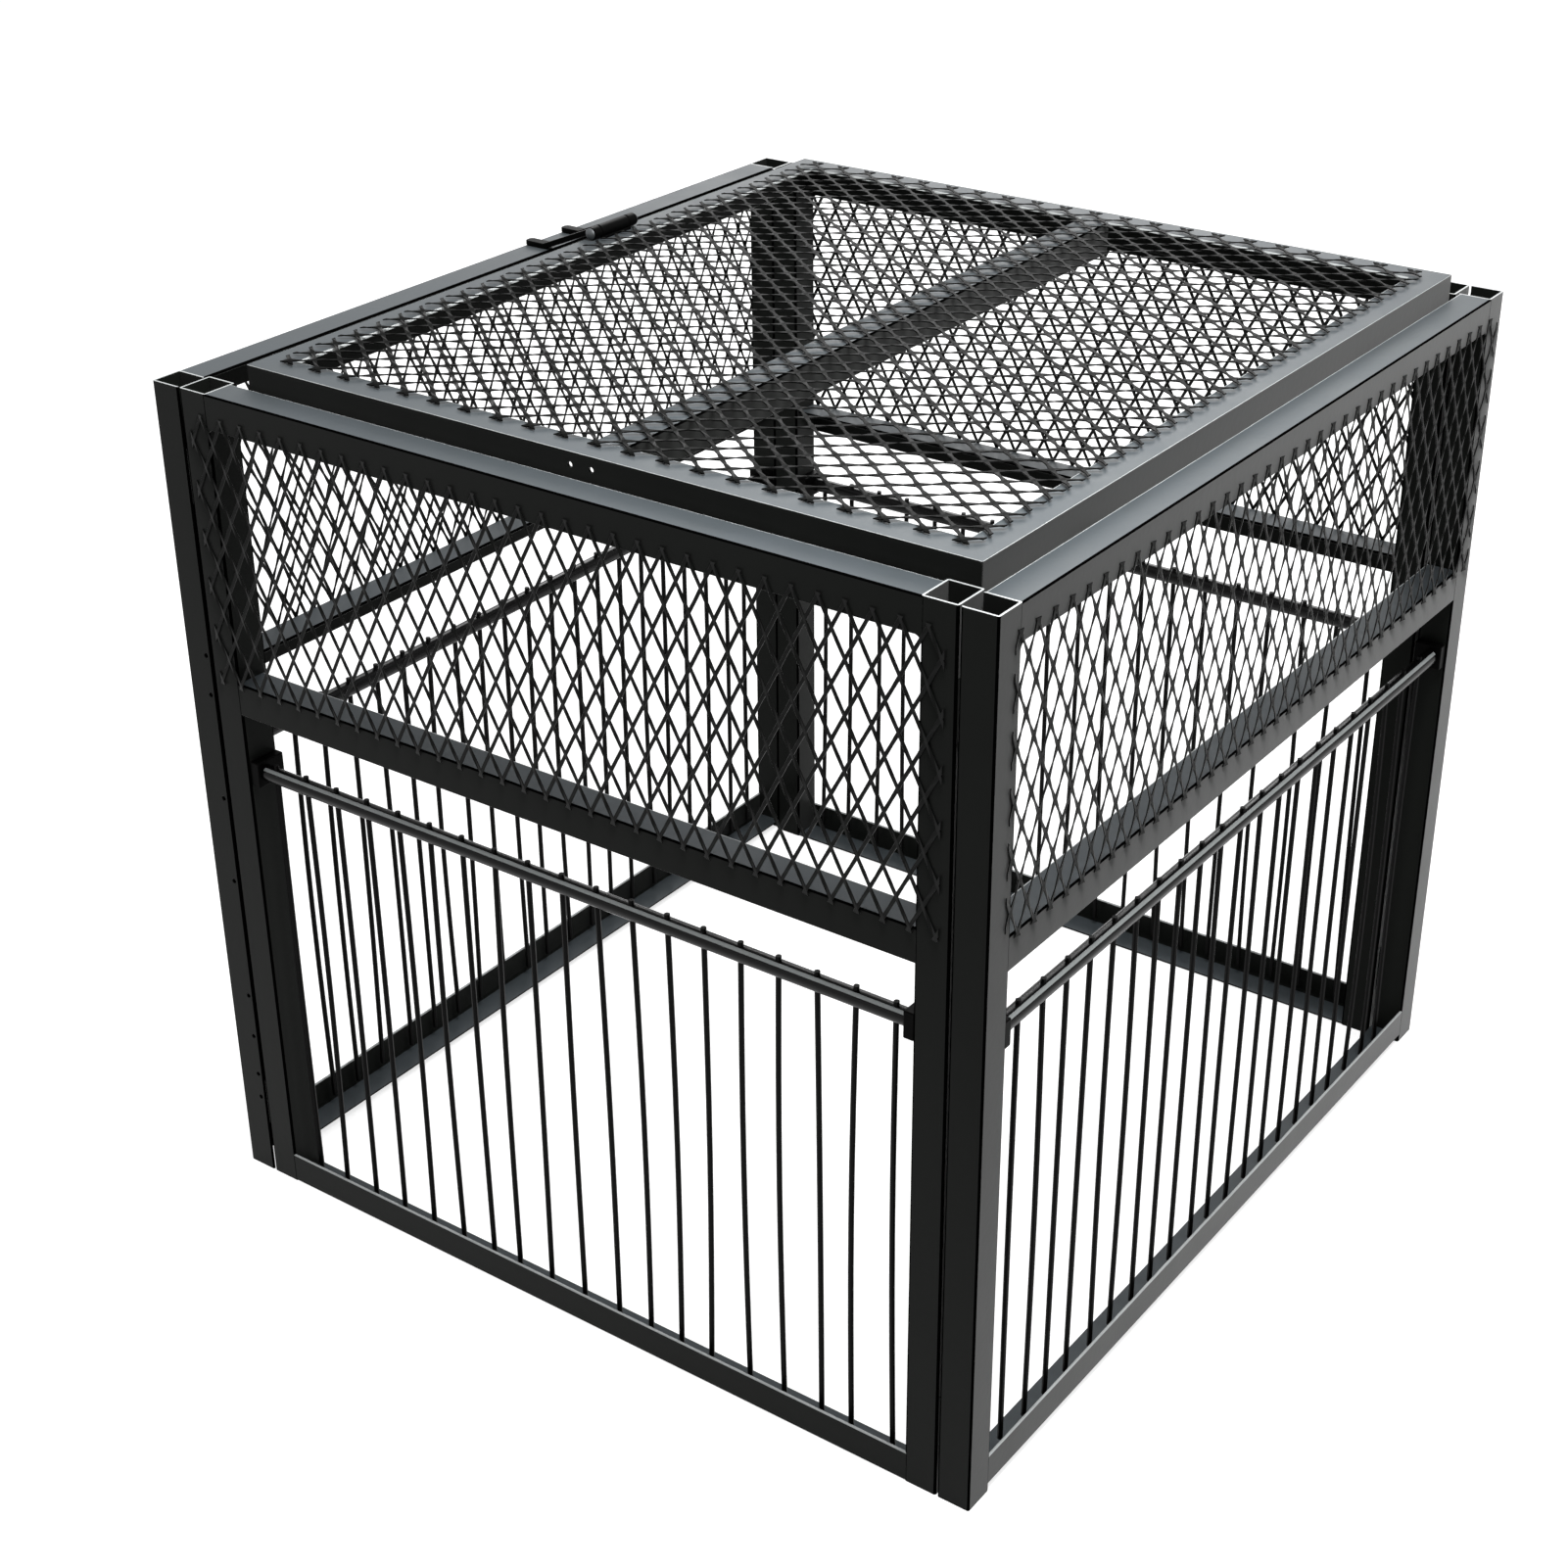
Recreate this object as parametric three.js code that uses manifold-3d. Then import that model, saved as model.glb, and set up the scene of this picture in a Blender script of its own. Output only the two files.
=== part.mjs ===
// Pigeon trap: a box cage of black powder-coated steel, open at the bottom.
// The end panels stand on square tubes, the side panels on channels, and the rails are angle iron.
// Four panels stand round the cage. Each has expanded mesh above its middle rail
// and a one-way gate of hanging wires below it. A meshed lid drops in at the top.
// Millimetres, +Z up. The origin is on the ground at the middle of the cage.
// +X is the right side, -Y is the front.

import * as THREE from 'three';
import { mergeVertices } from 'three/addons/utils/BufferGeometryUtils.js';
import Module from 'manifold-3d';

const wasm = await Module();
wasm.setup();

// Cage, measured over its steel
const cageWidth = 680;
const cageDepth = 710;
const cageHeight = 655;

// Legs of the angle iron, which are the tubes' and channels' sides too, and the depth of the tubes
const faceLeg = 25;
const tubeDepth = 28;
const legWall = 2;

// Gaps that a weld fills, that two panels leave between them, and that a moving fit keeps
const weldGap = 0.3;
const panelGap = 1.5;
const runningGap = 0.3;

// Rails of a panel
const midRailTop = 438;
const sideRailLift = 6;

// Mesh of the panels
const meshSheet = 1.5;
const meshStrand = 2.4;
const meshGapWidth = 60;
const meshGapHeight = 104;
const meshLapOnStile = 18;
const meshLapOnTopRail = 12;
const meshLapOnMidRail = 4;

// Gate of hanging wires
const gateOffset = 10;
const rodRadius = 6;
const rodDrop = 48;
const journalRadius = 3;
const wireRadius = 2;
const wirePitch = 30;
const wireEndSpace = 18;
const wireStub = 3;
const wireFootClear = 8;
const bushHeight = 20;
const bushInset = 1.5;
const bushLength = 8;
const journalEndGap = 1;
const roundSides = 12;
const wireSides = 5;

// Cleats in the grooves of the corners
const cleatHeight = 40;
const cleatInset = 1;
const cleatEndSpace = 45;

// Holes low to high in the left panel's front stile
const stileHoleRadius = 2;
const stileHoleEdge = 5;
const stileHoleSides = 8;
const stileHoleHeightShares = [0.104, 0.137, 0.191, 0.248, 0.404, 0.512, 0.642, 0.69];

// Lid
const lidProud = 15;
const lidGap = 5;
const lidHingeGap = 38;
const lidBarOffset = 5;
const lidMeshEdge = 13;
const lidMeshGapLength = 96;
const lidMeshGapWidth = 62;
const skirtHoleRadius = 2;
const skirtHolePitch = 17;
const skirtHoleDrop = 9;
const restWidth = 30;
const restReach = 8;
const restDrop = 14;
const restOffset = 200;

// Lid hinge
const hingeOffset = 58;
const strapPitch = 43;
const strapWidth = 9;
const strapThick = 4;
const eyeRadius = 5;
const pinRadius = 3;
const pinHeadRadius = 4.5;
const pinHeadThick = 2;
const pinInset = 6;
const knuckleFoot = 12;
const knuckleFootEdge = 1;
const knuckleFootThick = 1.6;
const hingeSideGap = 0.5;
const hingeSides = 20;
const eyeArcSteps = 6;

// How far every cut runs past the faces it cuts
const overrun = 1;

// Places that several pieces share
const rodHeight = midRailTop - faceLeg - rodDrop;
const endPanelHalf = cageWidth / 2 - faceLeg - panelGap;
const sidePanelHalf = cageDepth / 2;
const lidLeft = -cageWidth / 2 + faceLeg + lidHingeGap;
const lidRight = cageWidth / 2 - faceLeg - lidGap;
const lidFront = -cageDepth / 2 + faceLeg + lidGap;
const lidBack = -lidFront;
const lidTop = cageHeight + lidProud;
const lidSkirtFoot = lidTop - faceLeg;
const pinX = lidLeft + pinInset;
const pinZ = lidTop + eyeRadius + runningGap;

// Turn that lays an outline drawn across X and Y so that it runs along X or along Y
const alongX = new THREE.Matrix4().makeBasis(
  new THREE.Vector3(0, 1, 0), new THREE.Vector3(0, 0, 1), new THREE.Vector3(1, 0, 0));
const alongY = new THREE.Matrix4().makeBasis(
  new THREE.Vector3(1, 0, 0), new THREE.Vector3(0, 0, 1), new THREE.Vector3(0, -1, 0));

function toSolid(geometry) {
  const bare = geometry.index ? geometry.toNonIndexed() : geometry.clone();
  bare.deleteAttribute('normal');
  bare.deleteAttribute('uv');
  const merged = mergeVertices(bare);
  return new wasm.Manifold(new wasm.Mesh({
    numProp: 3,
    vertProperties: Float32Array.from(merged.attributes.position.array),
    triVerts: Uint32Array.from(merged.index.array),
  }));
}

function toGeometry(solid) {
  const cut = solid.getMesh();
  const geometry = new THREE.BufferGeometry();
  geometry.setAttribute('position', new THREE.BufferAttribute(cut.vertProperties, cut.numProp));
  geometry.setIndex(new THREE.BufferAttribute(cut.triVerts, 1));
  return geometry;
}

function cutAll(geometry, cutters) {
  let solid = toSolid(geometry);
  for (const cutter of cutters) solid = solid.subtract(toSolid(cutter));
  return toGeometry(solid);
}

function joinAll(geometries) {
  let solid = toSolid(geometries[0]);
  for (const geometry of geometries.slice(1)) solid = solid.add(toSolid(geometry));
  return toGeometry(solid);
}

function outline(points) {
  return new THREE.Shape(points.map(([x, y]) => new THREE.Vector2(x, y)));
}

function bar(shape, length) {
  const settings = { depth: length, bevelEnabled: false, curveSegments: eyeArcSteps };
  return new THREE.ExtrudeGeometry(shape, settings);
}

// Section of an angle whose corner is at the origin. A negative leg points the other way.
function angleSection(firstLeg, secondLeg) {
  const firstWall = Math.sign(firstLeg) * legWall;
  const secondWall = Math.sign(secondLeg) * legWall;
  return outline([
    [0, 0], [firstLeg, 0], [firstLeg, secondWall],
    [firstWall, secondWall], [firstWall, secondLeg], [0, secondLeg],
  ]);
}

// Section of a tube, one corner at the origin. A negative width points the other way.
function tubeSection(width, depth) {
  const wall = Math.sign(width) * legWall;
  const section = outline([[0, 0], [width, 0], [width, depth], [0, depth]]);
  section.holes.push(outline([
    [wall, legWall], [wall, depth - legWall], [width - wall, depth - legWall], [width - wall, legWall],
  ]));
  return section;
}

// Section of a channel that is open at its far side in Y, where a tube closes it
function channelSection(width, depth) {
  const wall = Math.sign(width) * legWall;
  return outline([
    [0, 0], [width, 0], [width, depth], [width - wall, depth],
    [width - wall, legWall], [wall, legWall], [wall, depth], [0, depth],
  ]);
}

// Angle that runs along X, centred on it. The section's first leg lies along Y and its second along Z.
function railGeometry(length, legAlongY, legAlongZ) {
  const geometry = bar(angleSection(legAlongY, legAlongZ), length);
  geometry.translate(0, 0, -length / 2);
  return geometry.applyMatrix4(alongX);
}

// The same angle with its ends cut to 45 degrees, so that four of them make a frame
function mitredRailGeometry(length, legAlongY, legAlongZ) {
  const geometry = railGeometry(length, legAlongY, legAlongZ);
  const positions = geometry.attributes.position;
  for (let i = 0; i < positions.count; i += 1) {
    const x = positions.getX(i);
    positions.setX(i, x - Math.sign(x) * (Math.abs(positions.getY(i)) + weldGap));
  }
  return geometry;
}

function powderCoat() {
  return new THREE.MeshStandardMaterial({ color: 0x16191a, roughness: 0.42, metalness: 0.0 });
}

function zincPlate() {
  return new THREE.MeshStandardMaterial({ color: 0x2a2d2e, roughness: 0.35, metalness: 0.9 });
}

function piece(name, geometry, place = [0, 0, 0], material = powderCoat()) {
  const mesh = new THREE.Mesh(geometry, material);
  mesh.name = name;
  mesh.position.set(...place);
  return mesh;
}

// Flat sheet with staggered diamond gaps, centred on the origin in X and Y.
// Gaps that reach the border are cut off square a strand's width inside it.
function diamondSheet(width, height, gapWidth, gapHeight) {
  const columns = Math.round(width / gapWidth);
  const rows = Math.round(height / gapHeight);
  const stepX = width / 2 / columns;
  const stepY = height / 2 / rows;
  const slant = Math.hypot(stepX, stepY);
  const reachX = stepX - (meshStrand * slant) / (2 * stepY);
  const reachY = stepY - (meshStrand * slant) / (2 * stepX);
  const diamond = outline([[reachX, 0], [0, reachY], [-reachX, 0], [0, -reachY]]);
  const gaps = [];
  for (let i = 0; i <= 2 * columns; i += 1) {
    for (let j = i % 2; j <= 2 * rows; j += 2) {
      const gap = bar(diamond, meshSheet + 2 * overrun);
      gaps.push(gap.translate(i * stepX - width / 2, j * stepY - height / 2, -meshSheet / 2 - overrun));
    }
  }
  const inside = new THREE.BoxGeometry(
    width - 2 * meshStrand, height - 2 * meshStrand, meshSheet + 4 * overrun);
  const sheet = toSolid(new THREE.BoxGeometry(width, height, meshSheet));
  return toGeometry(sheet.subtract(toSolid(joinAll(gaps)).intersect(toSolid(inside))));
}

// Rod turned down to a journal at each end, with the gate's wires through it.
// It lies along X with its axis through the origin, and the wires hang down.
function combGeometry(openingHalf, rodHalf, wireDrop) {
  const journalHalf = rodHalf + bushLength - journalEndGap;
  const profile = [
    [0, -journalHalf], [journalRadius, -journalHalf], [journalRadius, -rodHalf], [rodRadius, -rodHalf],
    [rodRadius, rodHalf], [journalRadius, rodHalf], [journalRadius, journalHalf], [0, journalHalf],
  ];
  const rod = new THREE.LatheGeometry(profile.map(([x, y]) => new THREE.Vector2(x, y)), roundSides);
  rod.rotateZ(-Math.PI / 2);
  const wireTop = rodRadius + wireStub;
  const wireCount = Math.floor((2 * (openingHalf - wireEndSpace)) / wirePitch) + 1;
  const parts = [rod];
  for (let i = 0; i < wireCount; i += 1) {
    const wire = new THREE.CylinderGeometry(wireRadius, wireRadius, wireTop + wireDrop, wireSides);
    wire.rotateX(Math.PI / 2);
    wire.translate((i - (wireCount - 1) / 2) * wirePitch, 0, (wireTop - wireDrop) / 2);
    parts.push(wire);
  }
  return joinAll(parts);
}

// Block on the opening's side of a stile that carries a journal. Its bore lies along X
// through the origin, and its ends in Y stay inside the stile's faces.
function bushGeometry(stileDepth) {
  const block = new THREE.BoxGeometry(bushLength, stileDepth - 2 * bushInset, bushHeight);
  block.translate(0, stileDepth / 2 - gateOffset, 0);
  const bore = new THREE.CylinderGeometry(
    journalRadius + runningGap, journalRadius + runningGap, bushLength + 2 * overrun, roundSides);
  return cutAll(block, [bore.rotateZ(Math.PI / 2)]);
}

// One panel, drawn with its outer face on Y = 0 and its width along X; +Y points into the cage.
// Each stile starts at the panel's outer edge and goes stileDepth into the cage.
function panel({ name, ends, half, stileSection, stileDepth, railLift, turn, distance, drilledEnd }) {
  const group = new THREE.Group();
  group.rotation.z = turn;
  group.position.set(distance * Math.sin(turn), -distance * Math.cos(turn), 0);
  const openingHalf = half - faceLeg;
  const railLength = 2 * (openingHalf - weldGap);
  ends.forEach((end, index) => {
    const sign = 2 * index - 1;
    const post = bar(stileSection(-sign * faceLeg, stileDepth), cageHeight);
    const stile = end === drilledEnd ? cutAll(post, stileHoles()) : post;
    group.add(piece(`${name}_${end}_stile`, stile, [sign * half, 0, 0]));
    const bushX = sign * (openingHalf - weldGap - bushLength / 2);
    const bush = bushGeometry(stileDepth);
    group.add(piece(`${name}_gate_${end}_bush`, bush, [bushX, gateOffset, rodHeight]));
  });
  group.add(piece(`${name}_top_rail`, railGeometry(railLength, faceLeg, -faceLeg), [0, 0, cageHeight]));
  group.add(piece(`${name}_mid_rail`, railGeometry(railLength, faceLeg, -faceLeg), [0, 0, midRailTop]));
  const bottomRail = railGeometry(railLength, stileDepth, faceLeg);
  group.add(piece(`${name}_bottom_rail`, bottomRail, [0, 0, railLift]));

  const meshFoot = midRailTop - meshLapOnMidRail;
  const meshHead = cageHeight - faceLeg + meshLapOnTopRail;
  const meshWidth = 2 * (openingHalf + meshLapOnStile);
  const sheet = diamondSheet(meshWidth, meshHead - meshFoot, meshGapWidth, meshGapHeight);
  const meshY = -weldGap - meshSheet / 2;
  group.add(piece(`${name}_mesh`, sheet.rotateX(Math.PI / 2), [0, meshY, (meshHead + meshFoot) / 2]));

  const rodHalf = openingHalf - weldGap - bushLength - runningGap;
  const wireDrop = rodHeight - railLift - legWall - wireFootClear;
  const comb = combGeometry(openingHalf, rodHalf, wireDrop);
  group.add(piece(`${name}_gate`, comb, [0, gateOffset, rodHeight]));
  return group;
}

// Round cutters through a channel's outer wall, near its free edge, one for each height
function stileHoles() {
  return stileHoleHeightShares.map((share) => {
    const cutter = new THREE.CylinderGeometry(
      stileHoleRadius, stileHoleRadius, 2 * (legWall + overrun), stileHoleSides);
    cutter.rotateZ(Math.PI / 2);
    return cutter.translate(0, faceLeg - stileHoleEdge, share * cageHeight);
  });
}

// Thin plates low and high in each corner's groove, where a side panel is tacked to an end panel
function cornerCleats() {
  const group = new THREE.Group();
  const corners = [['front', -1], ['back', 1]];
  const sides = [['left', -1], ['right', 1]];
  const levels = [['lower', cleatEndSpace], ['upper', cageHeight - cleatEndSpace - cleatHeight]];
  for (const [corner, signY] of corners) {
    for (const [side, signX] of sides) {
      const x = signX * (endPanelHalf + panelGap / 2);
      const y = (signY * (cageDepth - faceLeg)) / 2;
      for (const [level, foot] of levels) {
        const plate = new THREE.BoxGeometry(
          panelGap - 2 * weldGap, faceLeg - 2 * cleatInset, cleatHeight);
        const z = foot + cleatHeight / 2;
        group.add(piece(`${corner}_${side}_${level}_cleat`, plate, [x, y, z]));
      }
    }
  }
  return group;
}

// Lid frame: four mitred rails with their skirts down, a bar across the middle, and the mesh on top
function lidFrame() {
  const group = new THREE.Group();
  const centreX = (lidLeft + lidRight) / 2;
  const lidWidth = lidRight - lidLeft;
  const lidDepth = lidBack - lidFront;
  const barLength = lidDepth - 2 * (faceLeg + weldGap);
  const holes = [-1, 1].map((sign) => {
    const cutter = new THREE.CylinderGeometry(
      skirtHoleRadius, skirtHoleRadius, 2 * (legWall + overrun), stileHoleSides);
    return cutter.translate((sign * skirtHolePitch) / 2, 0, -skirtHoleDrop);
  });
  const front = cutAll(mitredRailGeometry(lidWidth, faceLeg, -faceLeg), holes);
  const back = mitredRailGeometry(lidWidth, -faceLeg, -faceLeg);
  const left = mitredRailGeometry(lidDepth, -faceLeg, -faceLeg).rotateZ(Math.PI / 2);
  const right = mitredRailGeometry(lidDepth, faceLeg, -faceLeg).rotateZ(Math.PI / 2);
  const centreBar = railGeometry(barLength, faceLeg, -faceLeg).rotateZ(Math.PI / 2);
  group.add(piece('lid_front_rail', front, [centreX, lidFront, lidTop]));
  group.add(piece('lid_back_rail', back, [centreX, lidBack, lidTop]));
  group.add(piece('lid_left_rail', left, [lidLeft, 0, lidTop]));
  group.add(piece('lid_right_rail', right, [lidRight, 0, lidTop]));
  group.add(piece('lid_centre_bar', centreBar, [centreX + lidBarOffset + faceLeg / 2, 0, lidTop]));
  const sheet = diamondSheet(
    lidWidth - 2 * lidMeshEdge, lidDepth - 2 * lidMeshEdge, lidMeshGapLength, lidMeshGapWidth);
  group.add(piece('lid_mesh', sheet, [centreX, 0, lidTop + weldGap + meshSheet / 2]));
  return group;
}

// Hinge strap: flat bar on the rail that climbs over the gap and ends in an eye round the pin.
function strapGeometry() {
  const tail = -cageWidth / 2 - pinX;
  const seat = cageHeight + weldGap - pinZ;
  const bend = -cageWidth / 2 + faceLeg - strapThick - pinX;
  const crest = bend + lidHingeGap - strapThick;
  const armHalf = strapThick / 2;
  const eyeAngle = Math.asin(armHalf / eyeRadius);
  const shape = new THREE.Shape();
  shape.moveTo(tail, seat);
  shape.lineTo(bend, seat);
  shape.lineTo(crest, -armHalf);
  shape.absarc(0, 0, eyeRadius, Math.PI + eyeAngle, Math.PI - eyeAngle + 2 * Math.PI, false);
  shape.lineTo(crest - armHalf, armHalf);
  shape.lineTo(bend - armHalf, seat + strapThick);
  shape.lineTo(tail, seat + strapThick);
  shape.closePath();
  const eye = new THREE.Path();
  eye.absarc(0, 0, pinRadius + runningGap, 0, 2 * Math.PI, true);
  shape.holes.push(eye);
  const geometry = bar(shape, strapWidth);
  return geometry.translate(0, 0, -strapWidth / 2).applyMatrix4(alongY);
}

// Barrel between the two eyes, on a foot that is welded to the lid's flange.
function knuckleGeometry() {
  const length = strapPitch - strapWidth - 2 * hingeSideGap;
  const footZ = -eyeRadius - runningGap + weldGap;
  const barrel = new THREE.Shape();
  barrel.absarc(0, 0, eyeRadius, 0, 2 * Math.PI, false);
  const footTop = footZ + knuckleFootThick;
  const footStart = knuckleFootEdge - pinInset;
  const footEnd = knuckleFoot - pinInset;
  const foot = outline([[footStart, footZ], [footEnd, footZ], [footEnd, footTop], [footStart, footTop]]);
  const bore = new THREE.CylinderGeometry(
    pinRadius + runningGap, pinRadius + runningGap, length + 2 * overrun, hingeSides);
  bore.rotateX(Math.PI / 2);
  bore.translate(0, 0, length / 2);
  const body = joinAll([bar(barrel, length), bar(foot, length)]);
  return cutAll(body, [bore]).translate(0, 0, -length / 2).applyMatrix4(alongY);
}

function pinGeometry() {
  const half = (strapPitch + strapWidth) / 2 + runningGap;
  const headEnd = half + pinHeadThick;
  const profile = [
    [0, -headEnd], [pinRadius, -headEnd], [pinHeadRadius, -half - pinHeadThick / 2], [pinHeadRadius, -half],
    [pinRadius, -half], [pinRadius, half], [pinHeadRadius, half],
    [pinHeadRadius, half + pinHeadThick / 2], [pinRadius, headEnd], [0, headEnd],
  ];
  return new THREE.LatheGeometry(profile.map(([x, y]) => new THREE.Vector2(x, y)), hingeSides);
}

// Cleat on the right top rail, under the lid's skirt, which rests on it.
function restGeometry() {
  const reach = cageWidth / 2 - legWall - weldGap - (lidRight - restReach);
  const section = angleSection(-reach, -restDrop);
  return bar(section, restWidth).translate(0, 0, -restWidth / 2).applyMatrix4(alongY);
}

function hinge() {
  const group = new THREE.Group();
  for (const [end, sign] of [['front', -1], ['back', 1]]) {
    const y = hingeOffset + (sign * strapPitch) / 2;
    group.add(piece(`hinge_${end}_strap`, strapGeometry(), [pinX, y, pinZ]));
    const restX = cageWidth / 2 - legWall - weldGap;
    const restTop = lidSkirtFoot - runningGap;
    group.add(piece(`lid_${end}_rest`, restGeometry(), [restX, sign * restOffset, restTop]));
  }
  group.add(piece('hinge_pin', pinGeometry(), [pinX, hingeOffset, pinZ], zincPlate()));
  group.add(piece('lid_knuckle', knuckleGeometry(), [pinX, hingeOffset, pinZ]));
  return group;
}

const endPanel = {
  half: endPanelHalf, stileSection: tubeSection, stileDepth: tubeDepth, railLift: 0,
  distance: cageDepth / 2,
};
const sidePanel = {
  half: sidePanelHalf, stileSection: channelSection, stileDepth: faceLeg, railLift: sideRailLift,
  distance: cageWidth / 2,
};

const trap = new THREE.Group();
trap.add(panel({ name: 'front', ends: ['left', 'right'], turn: 0, ...endPanel }));
trap.add(panel({ name: 'right', ends: ['front', 'back'], turn: Math.PI / 2, ...sidePanel }));
trap.add(panel({ name: 'back', ends: ['right', 'left'], turn: Math.PI, ...endPanel }));
trap.add(panel({
  name: 'left', ends: ['back', 'front'], turn: -Math.PI / 2, drilledEnd: 'front', ...sidePanel,
}));
trap.add(cornerCleats());
trap.add(lidFrame());
trap.add(hinge());

export default trap;
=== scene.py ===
import random
from math import cos, floor, pi, radians, sin

import bmesh
import bpy
from mathutils import Matrix, Vector, noise


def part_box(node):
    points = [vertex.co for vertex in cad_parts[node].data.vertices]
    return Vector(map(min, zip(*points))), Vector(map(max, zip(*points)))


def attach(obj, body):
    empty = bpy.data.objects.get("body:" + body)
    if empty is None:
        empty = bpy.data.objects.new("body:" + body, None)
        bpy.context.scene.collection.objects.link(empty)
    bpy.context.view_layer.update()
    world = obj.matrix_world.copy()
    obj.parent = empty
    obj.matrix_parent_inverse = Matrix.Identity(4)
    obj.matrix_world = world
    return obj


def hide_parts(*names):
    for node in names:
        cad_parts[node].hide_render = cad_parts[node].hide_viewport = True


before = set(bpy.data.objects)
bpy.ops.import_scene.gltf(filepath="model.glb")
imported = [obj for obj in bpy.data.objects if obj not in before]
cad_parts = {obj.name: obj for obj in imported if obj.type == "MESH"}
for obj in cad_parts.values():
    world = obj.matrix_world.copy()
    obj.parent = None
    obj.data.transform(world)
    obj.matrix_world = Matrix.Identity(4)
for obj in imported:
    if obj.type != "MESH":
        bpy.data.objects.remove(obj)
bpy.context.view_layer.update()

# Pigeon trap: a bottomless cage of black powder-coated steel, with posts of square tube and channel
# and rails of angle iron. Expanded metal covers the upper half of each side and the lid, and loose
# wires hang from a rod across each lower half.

MM = 0.001
UP = Vector((0, 0, 1))
random.seed(3)
# Blender's own noise starts from the clock unless it is seeded too
noise.seed_set(3)

# Photograph and camera, fitted to the cage's corners
PHOTO_SIDE = 1601
FOCAL_PIXELS = 2641.2
SENSOR_WIDTH = 36.0
CAMERA_PLACE = Vector((1006.2, -1467.0, 1245.2)) * MM
CAMERA_AZIMUTH = radians(36.186)
CAMERA_ELEVATION = radians(28.220)
CAMERA_ROLL = radians(-0.505)

# Steel sections: wall, rounded corner, fillet in the root and rounded toes
IRON_WALL = 2.0 * MM
TUBE_CORNER_ROUND = 1.6 * MM
TUBE_INNER_ROUND = 0.8 * MM
CORNER_ROUND = 1.2 * MM
FLANGE_TOE_ROUND = 1.5 * MM
ROOT_ROUND = 1.8 * MM
OUTER_TOE_ROUND = 0.35 * MM
INNER_TOE_ROUND = 0.8 * MM
ROUND_SEGMENTS = 3
# Two rounds on one toe, which almost meet in the middle of the wall
LIP_WALL_RATIO = 2.1
# Past this share of the wall, a post's faces are its inner ones
INNER_FACE_WALL_SHARE = 0.9
# How close points count as one place, and as lying on a cut
SAME_PLACE = 0.01 * MM
CUT_TOLERANCE = 0.001 * MM
# A rail's ends run into the stiles, a hair below their faces, where the real weld is ground flush
WELD_REACH = 1.3 * MM
WELD_SINK = 0.04 * MM
MITRE_REACH = 0.28 * MM
# Weld left in the upper windows' corners
FILLET_SIZE = 6.0 * MM
FILLET_STEPS = 5

# Holes drilled in the iron
HOLE_RADIUS = 2.0 * MM
HOLE_SIDES = 20
STILE_HOLE_EDGE = 5.0 * MM
STILE_HOLE_HEIGHT_SHARES = (0.104, 0.137, 0.191, 0.248, 0.404, 0.512, 0.642, 0.69)
SKIRT_HOLE_PITCH = 17.0 * MM
SKIRT_HOLE_DROP = 9.0 * MM

# Expanded metal
SIDE_NET_SHORT = 19.0 * MM
SIDE_NET_LONG = 36.5 * MM
LID_NET_SHORT = 22.0 * MM
LID_NET_LONG = 27.0 * MM
SIDE_NET_RISE = 8.75 * MM
SIDE_NET_TRIM = 2.0 * MM
RIGHT_NET_TRIM = 10.0 * MM
STRAND_WIDTH = 2.2 * MM
LID_STRAND_WIDTH = 2.5 * MM
STRAND_THICK = 0.9 * MM
STRAND_EDGE = 0.2 * MM
BOND_SWELL = 1.25
STRAND_TWIST = 0.36
# A bond reaches a quarter of the way to the next on each side, and leans half as much as a strand
BOND_REACH_SHARE = 0.25
BOND_LEAN_SHARE = 0.5
# The sheets' unevenness: its size, where each sheet lies in the noise, how far the strands wander
# along the sheet and lift off it
DRIFT_SIZE = 25 * MM
DRIFT_PLACE = (3.1, 7.7, 1.3)
SIDE_NET_WANDER = 0.3 * MM
SIDE_NET_LIFT = 0.05 * MM
LID_NET_WANDER = 0.9 * MM
LID_NET_LIFT = 0.4 * MM
# How far the lid's sheet stands above its node's outer face
LID_NET_ROOM = 1.8 * MM
# Sheared edges are those sharper than this that lie along the sheet
RIM_ANGLE = radians(50)
RIM_HEIGHT_SHARE = 0.8

# Gates of hanging wires
ROD_RADIUS = 6.0 * MM
JOURNAL_RADIUS = 3.0 * MM
JOURNAL_LENGTH = 7.0 * MM
ROD_CHAMFER = 0.7 * MM
OPENING_PAST_ROD = 8.6 * MM
WIRE_RADIUS = 2.0 * MM
WIRE_PITCH = 30.0 * MM
WIRE_END_SPACE = 18.0 * MM
WIRE_STUB = 3.0 * MM
WIRE_STUB_SPREAD = 0.5 * MM
WIRE_BOW = 2.4 * MM
WIRE_DEPTH_BOW = 1.2 * MM
WIRE_LEAN = 3.2 * MM
WIRE_SHORT = 4.0 * MM
WIRE_SIDES = 8
WIRE_STEPS = 7
ROD_SIDES = 28
# The painted highlight line along a rod: its angle over level, and half its width as seen from the
# rod's middle
HIGHLIGHT_LINE_RISE = radians(50)
HIGHLIGHT_LINE_HALF_WIDTH = radians(9)

# Blocks that carry the rods, and plates tacked in the grooves
BLOCK_EDGE = 0.8 * MM
PLATE_EDGE = 0.15 * MM

# Lid hinge
STRAP_THICK = 4.0 * MM
STRAP_RISE = 21.0 * MM
STRAP_EDGE = 0.7 * MM
STRAP_TIP_ROUND = 3.6 * MM
EYE_RADIUS = 5.0 * MM
BORE_RADIUS = 3.3 * MM
PIN_RADIUS = 3.0 * MM
PIN_HEAD_RADIUS = 4.5 * MM
PIN_HEAD_THICK = 2.0 * MM
HINGE_SIDES = 32
FOOT_THICK = 1.6 * MM
FOOT_EDGE = 0.4 * MM
# The strap meets its eye at this share of the eye's radius
CREST_SHARE = 0.8
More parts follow.
